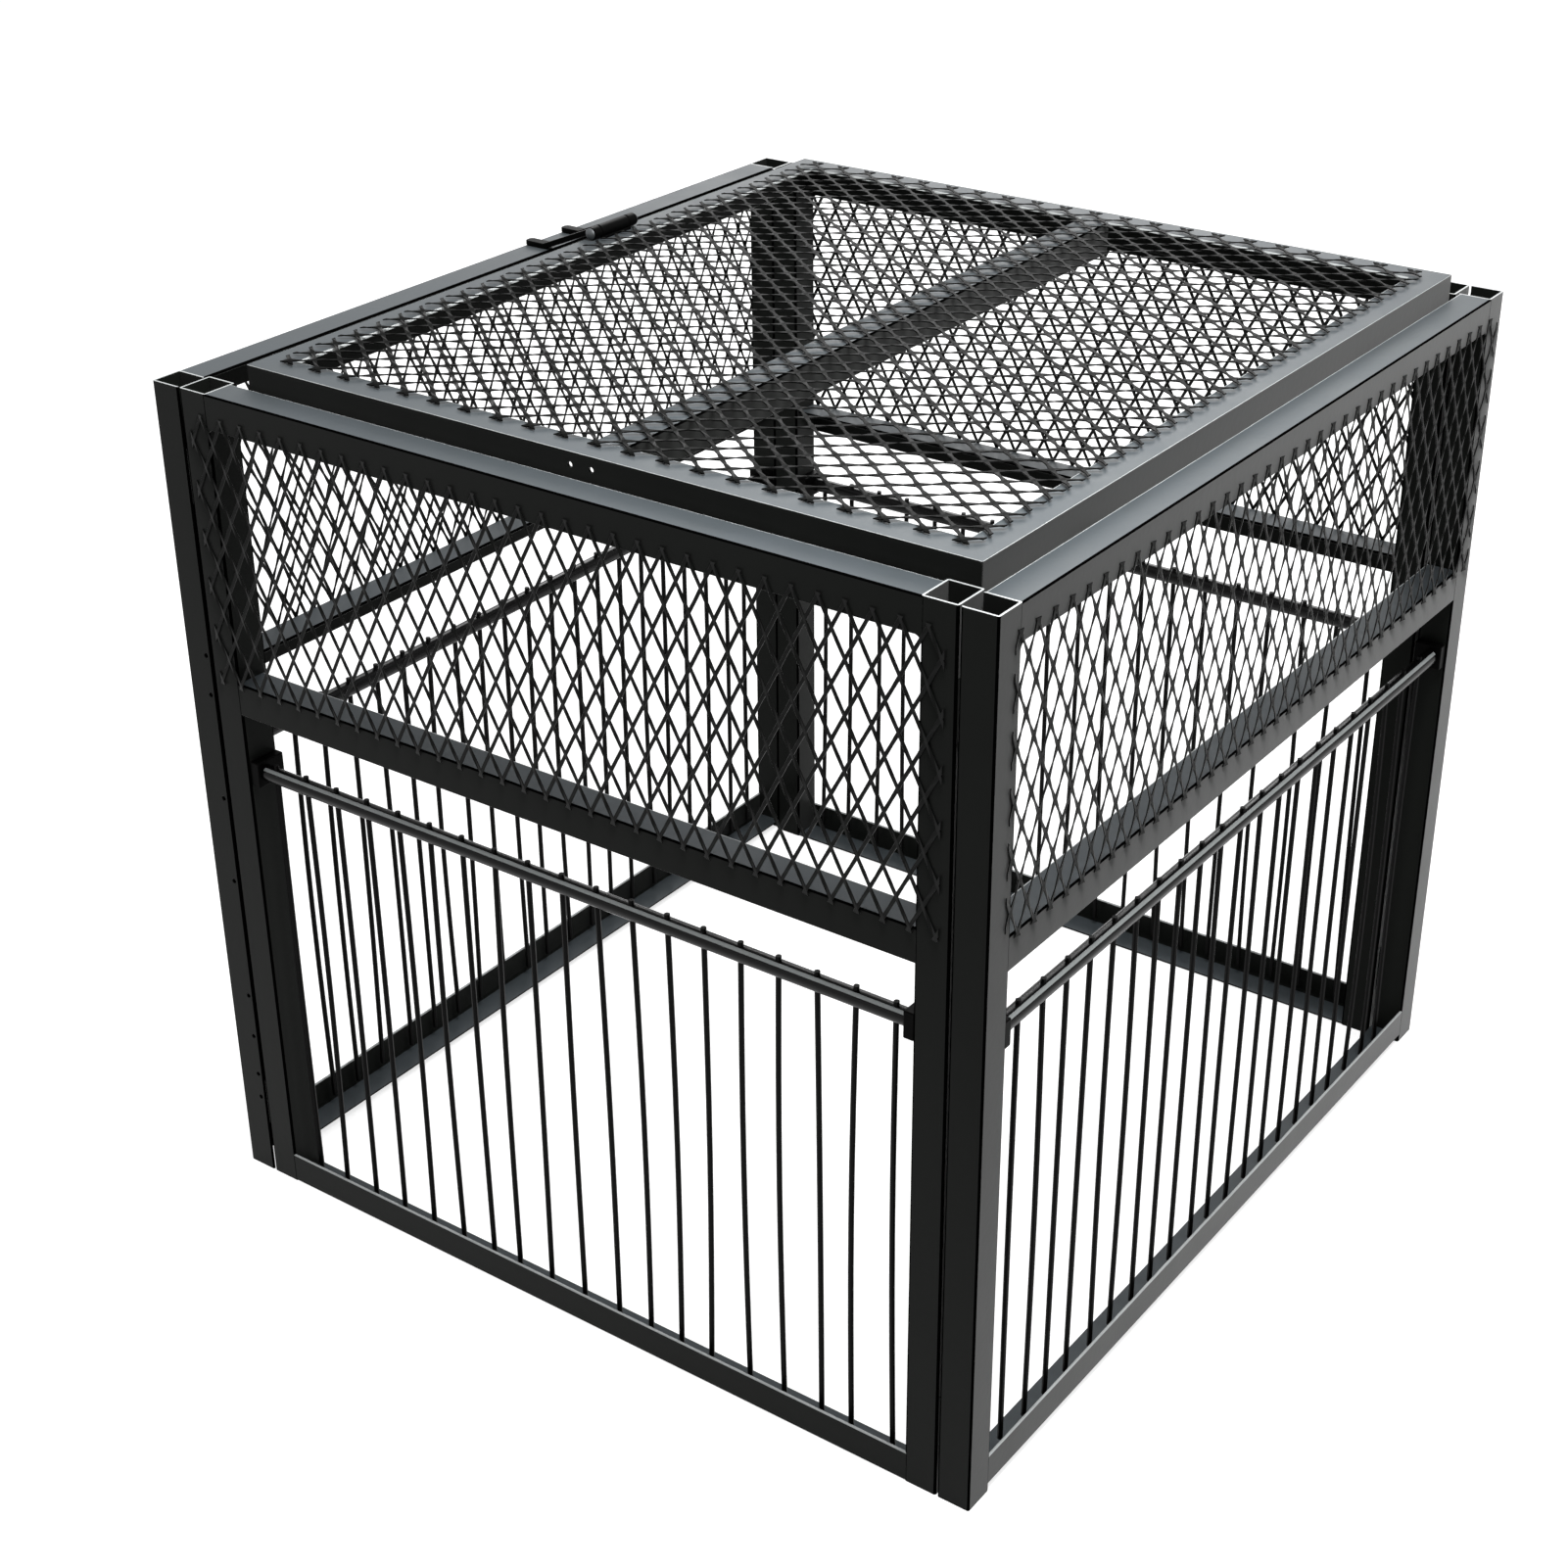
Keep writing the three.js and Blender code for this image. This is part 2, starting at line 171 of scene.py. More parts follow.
# The pin's domed head: heights over its tip, and shares of the pin's and the head's radius
DOME_LOW = 0.3 * MM
DOME_HIGH = 0.9 * MM
DOME_LOW_SHARE = 0.7
DOME_HIGH_SHARE = 0.85
# Turned pieces are shaded smooth where their faces meet at less than this many degrees
SMOOTH_UNDER = 40

# Clouds in the colour and gloss of the finishes
COAT_CLOUD_SIZE = 45 * MM
ZINC_CLOUD_SIZE = 6 * MM
GLOSS_SPREAD = 0.04

# Studio, in metres and watts. Each lamp has its name, place, side and power.
WORLD_GLOW = 0.45
FLOOR_GLOW = 0.7
FLOOR_HALF = 8
CAMERA_REACH = 50
LAMP_AIM = Vector((0, 0, 0.4))
LAMPS = (
    ("back_left_softbox", (-1.66, 2.98, 2.43), 1.8, 70),
    ("overhead_softbox", (-0.3, 0.9, 3.6), 2.0, 20),
    ("corner_softbox", (0.45, -0.36, 1.6), 0.5, 28),
    ("right_softbox", (3.2, 0.6, 1.9), 1.6, 25),
)


def linear(hex_code):
    """Linear colour of an sRGB hex value"""
    parts = [int(hex_code[i:i + 2], 16) / 255 for i in (1, 3, 5)]
    return (*(c / 12.92 if c <= 0.04045 else ((c + 0.055) / 1.055) ** 2.4 for c in parts), 1.0)


def add_node(tree, kind, inputs=None, **settings):
    """A node with its settings, and with its inputs set to values or linked to other nodes"""
    made = tree.nodes.new(kind)
    for name, value in settings.items():
        setattr(made, name, value)
    for name, value in (inputs or {}).items():
        if isinstance(value, bpy.types.NodeSocket):
            tree.links.new(value, made.inputs[name])
        else:
            made.inputs[name].default_value = value
    return made


def blank_material(name):
    """A new material, its empty node tree and the output of its object coordinates"""
    material = bpy.data.materials.new(name)
    material.use_nodes = True
    tree = material.node_tree
    tree.nodes.clear()
    place = add_node(tree, "ShaderNodeTexCoord").outputs["Object"]
    return material, tree, place


def coat(name, dark, light, specular, roughness, sheen, peel_size, peel_depth):
    """Coating: faint cloudy colour, cloudy gloss and the ripple of the cured film"""
    material, tree, place = blank_material(name)
    cloud = add_node(tree, "ShaderNodeTexNoise", {
        "Vector": place, "Scale": 1 / COAT_CLOUD_SIZE, "Detail": 3.0, "Roughness": 0.55})
    peel = add_node(tree, "ShaderNodeTexNoise", {
        "Vector": place, "Scale": 1 / peel_size, "Detail": 1.5, "Roughness": 0.5})
    colour = add_node(tree, "ShaderNodeMix", {
        0: cloud.outputs["Fac"], 6: linear(dark), 7: linear(light)}, data_type="RGBA")
    gloss = add_node(tree, "ShaderNodeMapRange", {
        "Value": cloud.outputs["Fac"], "From Min": 0.3, "From Max": 0.7,
        "To Min": roughness - GLOSS_SPREAD, "To Max": roughness + GLOSS_SPREAD})
    ripple = add_node(tree, "ShaderNodeBump", {
        "Height": peel.outputs["Fac"], "Strength": 0.5, "Distance": peel_depth})
    shader = add_node(tree, "ShaderNodeBsdfPrincipled", {
        "Base Color": colour.outputs[2], "Roughness": gloss.outputs["Result"],
        "Normal": ripple.outputs["Normal"], "IOR": 1.5, "Specular IOR Level": specular,
        "Sheen Weight": sheen, "Sheen Roughness": 0.3})
    add_node(tree, "ShaderNodeOutputMaterial", {"Surface": shader.outputs[0]})
    return material


def zinc_plated_steel():
    """Plated turned steel: grey and dulled by handling, in faint clouds of colour and gloss"""
    material, tree, place = blank_material("zinc_plated_steel")
    cloud = add_node(tree, "ShaderNodeTexNoise", {
        "Vector": place, "Scale": 1 / ZINC_CLOUD_SIZE, "Detail": 3.0})
    colour = add_node(tree, "ShaderNodeMix", {
        0: cloud.outputs["Fac"], 6: linear("#4c4f51"), 7: linear("#6a6d6f")}, data_type="RGBA")
    gloss = add_node(tree, "ShaderNodeMapRange", {
        "Value": cloud.outputs["Fac"], "To Min": 0.3, "To Max": 0.5})
    shader = add_node(tree, "ShaderNodeBsdfPrincipled", {
        "Base Color": colour.outputs[2], "Roughness": gloss.outputs["Result"], "Metallic": 0.9})
    add_node(tree, "ShaderNodeOutputMaterial", {"Surface": shader.outputs[0]})
    return material


# Satin black polyester powder, sprayed and baked. Its ripple, 1 to 2 mm on the real thing, is drawn
# at 5 mm so that it shows. It is near black face on, and its fine grain turns grey at a low angle.
POWDER_COAT = coat("satin_powder_coated_steel", "#090b09", "#0f110f", 0.03, 0.36, 0.8,
                   5 * MM, 0.05 * MM)
# The same powder painted pale grey on chosen rounded edges, as a painted highlight
PAINTED_HIGHLIGHT_EDGE = coat("powder_coated_edge_painted_highlight", "#8b8e8e", "#a8abab", 0.3, 0.4, 0.0,
                   3 * MM, 0.02 * MM)
# The same powder painted deep black along bends, rounded corners and inside the tubes, as painted
# shade
PAINTED_SHADE_COAT = coat("powder_coat_painted_shade", "#020202", "#030303", 0.0, 0.3, 0.0,
                 4 * MM, 0.02 * MM)
# The same powder on faces that look up, painted slate grey as painted light from above
PAINTED_TOP_LIGHT = coat("powder_coated_top_painted_light", "#33383a", "#3d4246", 0.12, 0.5, 0.25,
                5 * MM, 0.05 * MM)
# The same powder on thin sheared strands, where it lies rougher
NET_COAT = coat("powder_coated_expanded_steel", "#040504", "#080908", 0.08, 0.3, 0.03,
                3 * MM, 0.03 * MM)
# The lid's sheet, black even over the pale iron under it
LID_NET_COAT = coat("powder_coated_lid_mesh", "#030303", "#060706", 0.02, 0.4, 0.0,
                    3 * MM, 0.03 * MM)
# Black enamel on smooth drawn bar, which stays dark right round the rod
ROD_ENAMEL = coat("enamelled_steel_bar", "#040404", "#080808", 0.15, 0.25, 0.0,
                  8 * MM, 0.01 * MM)
# The same enamel painted grey in a narrow line along the rod's outer upper side, as a painted
# highlight
PAINTED_HIGHLIGHT_ENAMEL = coat("enamel_painted_highlight_line", "#7c8080", "#8e9292", 0.3, 0.35, 0.0,
                   8 * MM, 0.01 * MM)
# Thick enamel on the bearing blocks and the hinge, black from every side
HARDWARE_ENAMEL = coat("thick_enamelled_hardware", "#030303", "#060606", 0.02, 0.35, 0.0,
                       4 * MM, 0.02 * MM)
# Black enamel on drawn wire, duller than the rod
WIRE_ENAMEL = coat("enamelled_steel_wire", "#050505", "#090909", 0.05, 0.4, 0.0,
                   4 * MM, 0.02 * MM)
ZINC = zinc_plated_steel()
STEEL_FINISHES = (POWDER_COAT, PAINTED_HIGHLIGHT_EDGE, PAINTED_SHADE_COAT, PAINTED_TOP_LIGHT)
GATE_FINISHES = (ROD_ENAMEL, WIRE_ENAMEL, PAINTED_HIGHLIGHT_ENAMEL)


def ride(piece, body, node):
    """Sets a finished piece on its body, in place of its CAD node"""
    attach(piece, body)
    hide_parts(node)


def make_piece(bm, name, material, smooth_under=None):
    """The object of a finished mesh. Edges flatter than smooth_under degrees are shaded smooth."""
    bmesh.ops.recalc_face_normals(bm, faces=bm.faces)
    mesh = bpy.data.meshes.new(name)
    bm.to_mesh(mesh)
    bm.free()
    if smooth_under:
        mesh.shade_smooth()
        mesh.set_sharp_from_angle(angle=radians(smooth_under))
    mesh.materials.append(material)
    piece = bpy.data.objects.new(name, mesh)
    bpy.context.scene.collection.objects.link(piece)
    return piece


def extrude_profile(bm, points, shift):
    """Closed solid: a flat outline of points, extruded by shift"""
    face = bm.faces.new([bm.verts.new(point) for point in points])
    grown = bmesh.ops.extrude_face_region(bm, geom=[face])["geom"]
    moved = [v for v in grown if isinstance(v, bmesh.types.BMVert)]
    bmesh.ops.translate(bm, verts=moved, vec=shift)
    return moved


def round_edges(bm, edges, radius, segments=ROUND_SEGMENTS):
    """Rounds edges and returns the new faces"""
    return bmesh.ops.bevel(bm, geom=edges, offset=radius, offset_type="OFFSET", segments=segments,
                           profile=0.5, affect="EDGES", material=-1, clamp_overlap=True)["faces"]


def spin_profile(bm, points, centre, axis, sides):
    """Turned solid: an outline of (radius, place along the axis) spun once round"""
    axis = Vector(axis)
    out = UP if abs(axis.z) < 0.5 else Vector((1, 0, 0))
    verts = [bm.verts.new(Vector(centre) + out * r + axis * along) for r, along in points]
    edges = [bm.edges.new(pair) for pair in zip(verts, verts[1:])]
    bmesh.ops.spin(bm, geom=verts + edges, cent=centre, axis=axis, angle=2 * pi, steps=sides,
                   use_merge=True)
    bmesh.ops.remove_doubles(bm, verts=bm.verts, dist=CUT_TOLERANCE)


def drill(piece, centres, axis, radius, depth):
    """Round holes through a piece, at centres, along the axis"""
    bm = bmesh.new()
    turn = UP.rotation_difference(Vector(axis)).to_matrix().to_4x4()
    for centre in centres:
        bmesh.ops.create_cone(bm, cap_ends=True, segments=HOLE_SIDES, radius1=radius,
                              radius2=radius, depth=depth, matrix=Matrix.Translation(centre) @ turn)
    cutter = make_piece(bm, piece.name + "_cutter", piece.data.materials[0])
    cut = piece.modifiers.new("holes", "BOOLEAN")
    cut.object = cutter
    cut.solver = "EXACT"
    drilled = bpy.data.meshes.new_from_object(
        piece.evaluated_get(bpy.context.evaluated_depsgraph_get()))
    piece.modifiers.clear()
    piece.data = drilled
    bpy.data.objects.remove(cutter)


def mark(faces, finish):
    """Gives faces one of the finishes of a steel piece"""
    for face in faces:
        face.material_index = STEEL_FINISHES.index(finish)


def finish_steel(bm, node, painted_top_light=False):
    """A steel piece with its finishes. With painted_top_light, the faces that look up are painted
    paler, as painted light from above.
    """
    bmesh.ops.recalc_face_normals(bm, faces=bm.faces)
    # Faces that look up are painted paler, as painted light from above
    if painted_top_light:
        mark([f for f in bm.faces if f.normal.z > 0.99 and not f.material_index], PAINTED_TOP_LIGHT)
    piece = make_piece(bm, node + "_steel", POWDER_COAT)
    for finish in STEEL_FINISHES[1:]:
        piece.data.materials.append(finish)
    return piece


def corner_weld(bm, corner, along, down, depth):
    """Weld left in a window's corner, with a hollow free side"""
    centre = corner + (along + down) * FILLET_SIZE
    points = [corner]
    for i in range(FILLET_STEPS + 1):
        turn = pi / 2 * i / FILLET_STEPS
        points.append(centre - (along * sin(turn) + down * cos(turn)) * FILLET_SIZE)
    extrude_profile(bm, points, depth)


def angle_iron(node, corner, reach=0.0, sink=0.0, mitred=False, highlighted=(), window=False):
    """Angle iron that fills a node's box. corner says which end of the box the section's corner
    is on, with 0 for the axis that the iron runs along. highlighted names the edges that are
    painted pale as a painted highlight; the corner and flange toe, unless named, are painted
    black as painted shade. window says that the iron's leg ends at a window, with weld in the
    window's corners."""
    lo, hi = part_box(node)
    run = corner.index(0)
    across, upright = (i for i in range(3) if i != run)
    start = Vector((0, 0, 0))
    for i in (across, upright):
        start[i] = (lo if corner[i] < 0 else hi)[i] - corner[i] * sink
    start[run] = lo[run] - reach
    length = hi[run] - lo[run] + 2 * reach
    legs = (hi[across] - lo[across] - sink, hi[upright] - lo[upright] - sink)
    steps = [Vector([-corner[i] if j == i else 0 for j in range(3)]) for i in (across, upright)]

    def section_point(a, b):
        return start + steps[0] * a + steps[1] * b

    wall = IRON_WALL - sink
    outline = [(0, 0), (legs[0], 0), (legs[0], wall), (wall, wall), (wall, legs[1]), (0, legs[1])]
    lip = wall / LIP_WALL_RATIO if "leg_toe" in highlighted else None
    rounds = [
        ("corner", (0, 0), CORNER_ROUND), ("root", (wall, wall), ROOT_ROUND),
        ("flange_toe", (legs[0], 0), FLANGE_TOE_ROUND),
        ("flange_back", (legs[0], wall), OUTER_TOE_ROUND),
        ("leg_toe", (0, legs[1]), lip or OUTER_TOE_ROUND),
        ("leg_toe", (wall, legs[1]), lip or INNER_TOE_ROUND),
    ]
    bm = bmesh.new()
    along = Vector([length if j == run else 0 for j in range(3)])
    extrude_profile(bm, [section_point(*point) for point in outline], along)
    if mitred:
        for sign, end in ((-1, lo), (1, hi)):
            point = section_point(0, 0)
            point[run] = end[run] + sign * MITRE_REACH
            normal = steps[0].copy()
            normal[run] = sign
            bmesh.ops.bisect_plane(bm, geom=bm.verts[:] + bm.edges[:] + bm.faces[:], plane_co=point,
                                   plane_no=normal, clear_outer=True, dist=CUT_TOLERANCE)
            rim = [e for e in bm.edges if e.is_boundary]
            bmesh.ops.edgenet_fill(bm, edges=rim)
    for name, place, radius in rounds:
        spot = section_point(*place)
        edges = [e for e in bm.edges if all(
            abs(v.co[i] - spot[i]) < SAME_PLACE for v in e.verts for i in (across, upright))]
        made = round_edges(bm, edges, radius)
        # Named rounds get a painted highlight; the corner and flange toe otherwise get painted shade
        if name in highlighted:
            mark(made, PAINTED_HIGHLIGHT_EDGE)
        elif name in ("corner", "flange_toe"):
            mark(made, PAINTED_SHADE_COAT)
    if window:
        for sign, end in ((1, lo), (-1, hi)):
            point = section_point(sink, legs[1] - OUTER_TOE_ROUND)
            point[run] = end[run] - sign * reach
            towards = Vector([sign if i == run else 0 for i in range(3)])
            corner_weld(bm, point, towards, steps[1], steps[0] * (wall - sink))
    return finish_steel(bm, node, painted_top_light=True)


def post(node, open_axis=None, open_sign=0):
    """Upright that fills a node's box: a square tube, or a channel open along open_axis. The sawn
    top's wall is painted pale as a painted highlight, and its rounded corners and inner faces are
    painted black as painted shade."""
    lo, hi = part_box(node)
    middle, size = (lo + hi) / 2, hi - lo
    bm = bmesh.new()
    bmesh.ops.create_cube(bm, size=1, matrix=Matrix.Translation(middle)
                          @ Matrix.Diagonal((*size, 1)))
    ends = [f for f in bm.faces if abs(f.normal.z) > 0.5]
    bmesh.ops.inset_individual(bm, faces=ends, thickness=IRON_WALL)
    rims = [e for f in ends for e in f.edges]
    bmesh.ops.delete(bm, geom=ends, context="FACES_ONLY")
    bmesh.ops.bridge_loops(bm, edges=rims)
    if open_axis is not None:
        away = Vector([open_sign if i == open_axis else 0 for i in range(3)])
        cut = middle + away * (size[open_axis] / 2 - IRON_WALL)
        bmesh.ops.bisect_plane(bm, geom=bm.verts[:] + bm.edges[:] + bm.faces[:], plane_co=cut,
                               plane_no=away, clear_outer=True, dist=SAME_PLACE)
        bmesh.ops.edgeloop_fill(bm, edges=[e for e in bm.edges if e.is_boundary])
        reach = [v for v in bm.verts if abs((v.co - cut).dot(away)) < 2 * SAME_PLACE]
        bmesh.ops.translate(bm, verts=reach, vec=away * IRON_WALL)
    # The tube's rounded corners, outside and in, are painted black as painted shade
    for radius, shell in ((TUBE_CORNER_ROUND, 0.0), (TUBE_INNER_ROUND, IRON_WALL)):
        corner = size / 2 - Vector((shell, shell, 0))
        made = round_edges(bm, [e for e in bm.edges if all(
            abs(abs(v.co[i] - middle[i]) - corner[i]) < SAME_PLACE for v in e.verts for i in (0, 1))
            and abs(e.verts[0].co.z - e.verts[1].co.z) > size.z / 2], radius)
        mark(made, PAINTED_SHADE_COAT)
    # Faces inside the hollow are painted black as painted shade
    inner = size / 2 - Vector((IRON_WALL, IRON_WALL, 0)) * INNER_FACE_WALL_SHARE
    mark([f for f in bm.faces if all(
        abs(v.co[i] - middle[i]) < inner[i] for v in f.verts for i in (0, 1))], PAINTED_SHADE_COAT)
    # The sawn top is painted pale as a painted highlight
    mark([f for f in bm.faces if all(v.co.z > hi.z - SAME_PLACE for v in f.verts)], PAINTED_HIGHLIGHT_EDGE)
    return finish_steel(bm, node)


def block(node, edge, material):
    """Plain block that fills a node's box, with its edges rounded"""
    lo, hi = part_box(node)
    bm = bmesh.new()
    bmesh.ops.create_cube(bm, size=1, matrix=Matrix.Translation((lo + hi) / 2)
                          @ Matrix.Diagonal((*(hi - lo), 1)))
    round_edges(bm, bm.edges[:], edge, 2)
    return make_piece(bm, node + "_steel", material)


def expanded_net(node, finish, across, along, outward, pitch, strand, room, wander, lift,
                 rise=0.0, trim_head=0.0, trim_side=0.0):
    """Expanded metal over a node's face, with twisted strands and swollen bonds. pitch is a
    diamond's width and length. The sheet's outer side is level with the node's, or above it by
    room. Its strands stray by wander along it and by lift off it. It is cut off square at the
    node's border, or inside it by trim_head at its head and by trim_side at its first side.
    rise shifts its diamonds up."""
    short_pitch, long_pitch = pitch
    lo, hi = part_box(node)
    turn = Matrix((across, along, outward)).transposed()
    centre = (lo + hi) / 2
    span = turn.transposed() @ (hi - lo)
    half_width, half_height = abs(span.x) / 2, abs(span.y) / 2
    quarter = Vector((short_pitch / 4, long_pitch / 4, 0))
    slant = quarter.length
    crotch = Vector((slant / quarter.y, slant / quarter.x, 1)) * strand / 2 * BOND_SWELL

    bm = bmesh.new()
    bmesh.ops.create_circle(bm, cap_ends=True, segments=4, radius=1)
    bmesh.ops.scale(bm, vec=crotch, verts=bm.verts)
    for edge in bm.edges[:]:
        middle = (edge.verts[0].co + edge.verts[1].co) / 2
        way = Vector((1 if middle.x > 0 else -1, 1 if middle.y > 0 else -1))
        end = Vector((quarter.x * way.x, quarter.y * way.y, 0))
        side = Vector((quarter.y * way.x, -quarter.x * way.y, 0)) / slant * strand / 2
        grown = bmesh.ops.extrude_edge_only(bm, edges=[edge])["geom"]
        for vert in (v for v in grown if isinstance(v, bmesh.types.BMVert)):
            vert.co = end + (side if abs(vert.co.x) > abs(vert.co.y) * 0.1 else -side)
    columns = floor(half_width / short_pitch) + 1
    rows = floor((half_height + rise) / long_pitch) + 1
    bond = bm.verts[:] + bm.edges[:] + bm.faces[:]
    other = bmesh.ops.duplicate(bm, geom=bond)["geom"]
    shift = Vector((short_pitch, long_pitch, 0)) / 2
    shifted = [v for v in other if isinstance(v, bmesh.types.BMVert)]
    bmesh.ops.translate(bm, verts=shifted, vec=shift)
    for count, step in ((columns, Vector((short_pitch, 0, 0))), (rows, Vector((0, long_pitch, 0)))):
        unit = bm.verts[:] + bm.edges[:] + bm.faces[:]
        for i in range(-count, count + 1):
            if i:
                copy = bmesh.ops.duplicate(bm, geom=unit)["geom"]
                moved = [v for v in copy if isinstance(v, bmesh.types.BMVert)]
                bmesh.ops.translate(bm, verts=moved, vec=step * i)
    bmesh.ops.remove_doubles(bm, verts=bm.verts, dist=SAME_PLACE)
    bmesh.ops.translate(bm, verts=bm.verts, vec=(0, rise, 0))
    for normal, reach in (((1, 0, 0), half_width), ((-1, 0, 0), half_width - trim_side),
                          ((0, 1, 0), half_height - trim_head), ((0, -1, 0), half_height)):
        bmesh.ops.bisect_plane(bm, geom=bm.verts[:] + bm.edges[:] + bm.faces[:], clear_outer=True,
                               plane_co=Vector(normal) * (reach - wander), plane_no=normal,
                               dist=CUT_TOLERANCE)

    # Bonds lean one way across the sheet and the strands between them lean the other way
    for vert in bm.verts:
        place = vert.co.x / (short_pitch / 2)
        near_bond = place - round(place)
        if abs(near_bond) < BOND_REACH_SHARE:
            lean, amount = near_bond, BOND_LEAN_SHARE
        else:
            lean, amount = near_bond - (0.5 if near_bond > 0 else -0.5), -1.0
        twist = lean * short_pitch / 2 * STRAND_TWIST * amount
        sheet_place = Vector((DRIFT_PLACE[0], DRIFT_PLACE[1], len(node) * DRIFT_PLACE[2]))
        drift = noise.noise_vector(vert.co / DRIFT_SIZE + sheet_place)
        vert.co += Vector((drift.x * wander, drift.y * wander, twist + drift.z * lift))
    sheet = bmesh.ops.extrude_face_region(bm, geom=bm.faces[:])["geom"]
    top = [v for v in sheet if isinstance(v, bmesh.types.BMVert)]
    bmesh.ops.translate(bm, verts=top, vec=(0, 0, STRAND_THICK))
    bmesh.ops.recalc_face_normals(bm, faces=bm.faces)
    rims = [e for e in bm.edges if len(e.link_faces) == 2 and e.calc_face_angle(0) > RIM_ANGLE
            and abs((e.verts[0].co - e.verts[1].co).z) < STRAND_THICK * RIM_HEIGHT_SHARE]
    round_edges(bm, rims, STRAND_EDGE, 1)

    # The sheet's height is set from its outer side
    low = min(v.co.z for v in bm.verts)
    high = max(v.co.z for v in bm.verts)
    outer = max(outward.dot(lo), outward.dot(hi))
    seat = outer + room - (high - low)
    base = centre - outward * outward.dot(centre)
    for vert in bm.verts:
        height = seat + vert.co.z - low
        vert.co = turn @ Vector((vert.co.x, vert.co.y, 0)) + base + outward * height
    return make_piece(bm, node + "_net", finish)


def hanging_gate(node, along):
    """Rod turned down at its ends, with a row of loose-hung wires through it"""
    lo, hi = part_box(node)
    centre = (lo + hi) / 2
    centre.z = hi.z - WIRE_STUB - ROD_RADIUS
    half = abs((hi - lo).dot(along)) / 2
    rod_half = half - JOURNAL_LENGTH
    profile = [(0, -half), (JOURNAL_RADIUS - ROD_CHAMFER / 2, -half),
               (JOURNAL_RADIUS, -half + ROD_CHAMFER / 2), (JOURNAL_RADIUS, -rod_half),
               (ROD_RADIUS - ROD_CHAMFER, -rod_half), (ROD_RADIUS, -rod_half + ROD_CHAMFER)]
    profile += [(r, -place) for r, place in reversed(profile)]
    bm = bmesh.new()
    spin_profile(bm, profile, centre, along, ROD_SIDES)
    bmesh.ops.recalc_face_normals(bm, faces=bm.faces)
    outward = along.cross(UP)
    highlight_side = outward * cos(HIGHLIGHT_LINE_RISE) + UP * sin(HIGHLIGHT_LINE_RISE)
    # A narrow band of the rod's faces gets a painted highlight
    for face in bm.faces:
        if face.normal.angle(highlight_side) < HIGHLIGHT_LINE_HALF_WIDTH:
            face.material_index = GATE_FINISHES.index(PAINTED_HIGHLIGHT_ENAMEL)
    reach = rod_half + OPENING_PAST_ROD - WIRE_END_SPACE
    count = floor(2 * reach / WIRE_PITCH) + 1
    foot = lo.z - centre.z
    for i in range(count):
        top = ROD_RADIUS + WIRE_STUB - random.uniform(0, 1) * WIRE_STUB_SPREAD
        length = top - foot - random.uniform(0, 1) ** 3 * WIRE_SHORT
        made = bmesh.ops.create_cone(bm, cap_ends=True, segments=WIRE_SIDES, radius1=WIRE_RADIUS,
                                     radius2=WIRE_RADIUS, depth=length)["verts"]
        ring = {e for v in made for e in v.link_edges}
        rims = [e for e in ring if abs(e.verts[0].co.z - e.verts[1].co.z) < length / 2]
        sides = [e for e in ring if abs(e.verts[0].co.z - e.verts[1].co.z) > length / 2]
        bmesh.ops.subdivide_edges(bm, edges=sides, cuts=WIRE_STEPS)
        wire = {v for e in rims for v in e.verts}
        todo = list(wire)
        while todo:
            for edge in todo.pop().link_edges:
                for vert in edge.verts:
                    if vert not in wire:
                        wire.add(vert)
                        todo.append(vert)
        bow = random.uniform(-1, 1) * WIRE_BOW
        lean = random.uniform(-1, 1) * WIRE_LEAN
        depth_bow = random.uniform(-1, 1) * WIRE_DEPTH_BOW
        place = (i - (count - 1) / 2) * WIRE_PITCH
        for face in {f for v in wire for f in v.link_faces}:
            face.material_index = GATE_FINISHES.index(WIRE_ENAMEL)
        for vert in wire:
            down = 0.5 - vert.co.z / length
            sideways = place + vert.co.x + bow * sin(pi * down) + lean * down
            out = vert.co.y + depth_bow * sin(pi * down)
            height = top - down * length
            vert.co = centre + along * sideways + outward * out + UP * height
    gate = make_piece(bm, node + "_rod", ROD_ENAMEL, SMOOTH_UNDER)
    for finish in GATE_FINISHES[1:]:
        gate.data.materials.append(finish)
    return gate


def rod_block(node, gate, along):
    """Bearing block on the post, bored for the end of the rod"""
    lo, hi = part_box(node)
    gate_lo, gate_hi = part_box(gate)
    bore = (gate_lo + gate_hi) / 2
    bore.z = gate_hi.z - WIRE_STUB - ROD_RADIUS
    bore += along * ((lo + hi) / 2 - bore).dot(along)
    piece = block(node, BLOCK_EDGE, HARDWARE_ENAMEL)
    drill(piece, [bore], along, BORE_RADIUS, 2 * (hi - lo).length)
    return piece


def place_camera():
    """Camera where the photograph was taken from"""
    az, el = CAMERA_AZIMUTH, CAMERA_ELEVATION
    back = Vector((sin(az) * cos(el), -cos(az) * cos(el), sin(el)))
    level = (-back).cross(UP).normalized()
    rise = level.cross(-back)
    turn = Matrix((level, rise, back)).transposed() @ Matrix.Rotation(CAMERA_ROLL, 3, "Z")
    lens = bpy.data.cameras.new("photo_camera")
    lens.sensor_width = SENSOR_WIDTH
    lens.lens = SENSOR_WIDTH * FOCAL_PIXELS / PHOTO_SIDE
    lens.clip_end = CAMERA_REACH
    camera = bpy.data.objects.new("photo_camera", lens)
    camera.matrix_world = Matrix.Translation(CAMERA_PLACE) @ turn.to_4x4()
    bpy.context.scene.collection.objects.link(camera)
    bpy.context.scene.camera = camera


def seen_directly(tree):
    """1 for what the camera sees itself, in gloss or through glass, and 0 for diffuse light"""
    path = add_node(tree, "ShaderNodeLightPath")
    gloss = add_node(tree, "ShaderNodeMath", {
        0: path.outputs["Is Camera Ray"], 1: path.outputs["Is Glossy Ray"]}, operation="MAXIMUM")
    return add_node(tree, "ShaderNodeMath", {
        0: gloss.outputs[0], 1: path.outputs["Is Transmission Ray"]}, operation="MAXIMUM").outputs[0]


